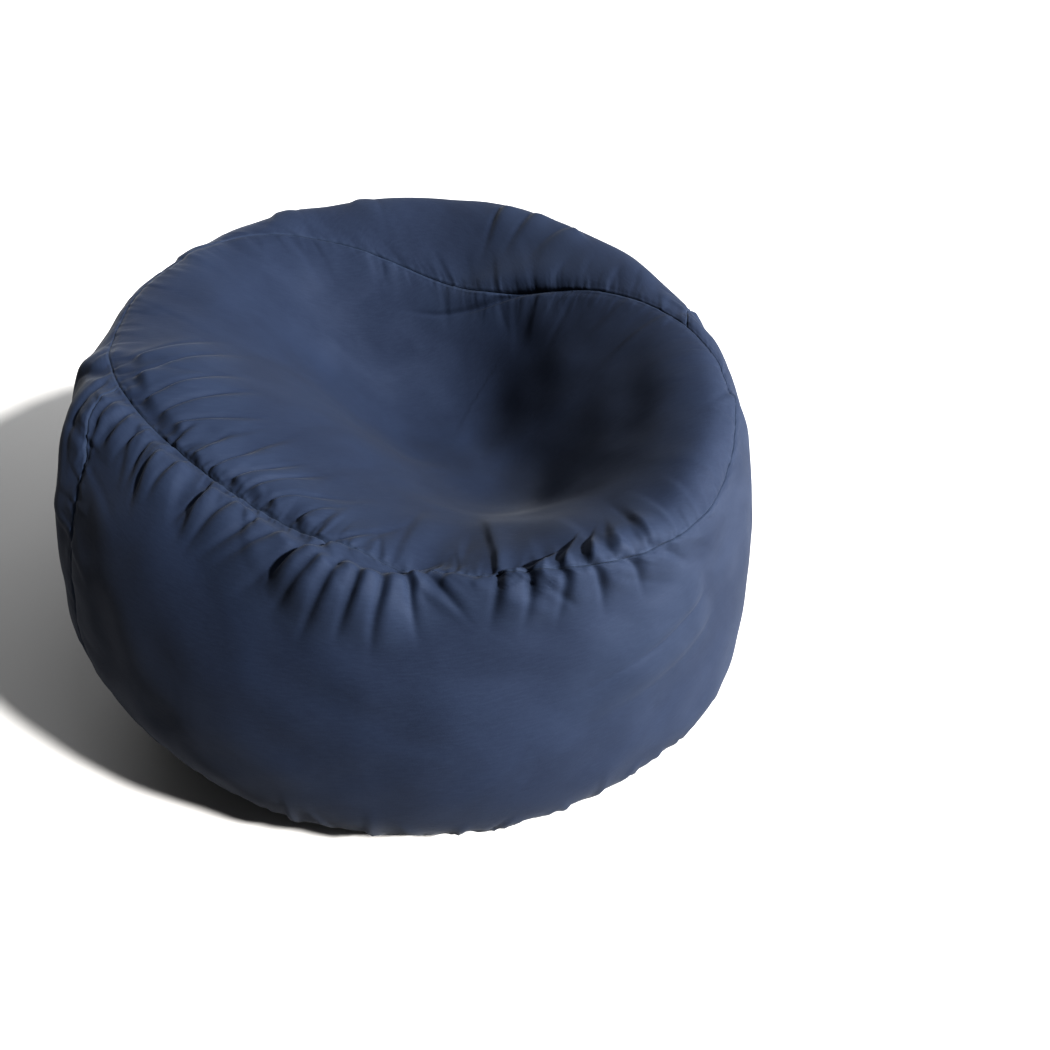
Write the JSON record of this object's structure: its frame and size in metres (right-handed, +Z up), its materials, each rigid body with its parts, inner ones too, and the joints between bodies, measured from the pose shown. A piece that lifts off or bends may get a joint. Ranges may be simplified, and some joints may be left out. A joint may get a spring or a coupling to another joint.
{
  "type": "bean bag chair",
  "caption": "Round oversized foam-filled bean bag chair with a dented seat, a removable zipped cover of sewn panels and a zipped inner liner.",
  "frame": {"origin": "centre of the round base, on the floor, where the axis of both zip arcs meets it", "axes": "+Z up; -Y is the front, where the sitter's legs hang over the lower rim; +X is to the right as seen from the front"},
  "size_m": [1.4671, 1.4098, 0.7798],
  "materials": {
    "suede": "navy microsuede with a short soft nap and a dull sheen",
    "zip_tape": "woven navy polyester zip tape",
    "coil": "moulded polyester zip coil",
    "zip_metal": "dark enamelled die-cast zip metal",
    "liner_cloth": "plain white polyester liner cloth",
    "foam": "shredded polyurethane foam",
    "label": "blank white satin label"
  },
  "bodies": {
    "bag": {"cover_seat_panel": "suede", "cover_front_panel": "suede", "cover_back_panel": "suede", "cover_base_panel": "suede", "cover_zip_upper_tape": "zip_tape", "cover_zip_lower_tape": "zip_tape", "cover_zip_upper_coil": "coil", "cover_zip_lower_coil": "coil", "cover_zip_open_end_stop": "zip_metal", "cover_zip_closed_end_stop": "zip_metal", "cover_care_label": "label", "liner_seat_panel": "liner_cloth", "liner_front_panel": "liner_cloth", "liner_back_panel": "liner_cloth", "liner_base_panel": "liner_cloth", "liner_zip_upper_tape": "liner_cloth", "liner_zip_lower_tape": "liner_cloth", "liner_zip_upper_coil": "coil", "liner_zip_lower_coil": "coil", "liner_zip_open_end_stop": "zip_metal", "liner_zip_closed_end_stop": "zip_metal", "foam_fill": "foam"},
    "cover_slider": {"cover_zip_slider": "zip_metal"},
    "liner_slider": {"liner_zip_slider": "zip_metal"}
  },
  "joints": [
    {"name": "cover_zip_slide", "type": "hinge", "parent": "bag", "child": "cover_slider", "pos_m": [0, 0, 0.021], "axis": [0, 0, 1], "range_deg": [-77.8, 0]},
    {"name": "liner_zip_slide", "type": "hinge", "parent": "bag", "child": "liner_slider", "pos_m": [0, 0, 0.021], "axis": [0, 0, 1], "range_deg": [-59.8, 0]}
  ]
}
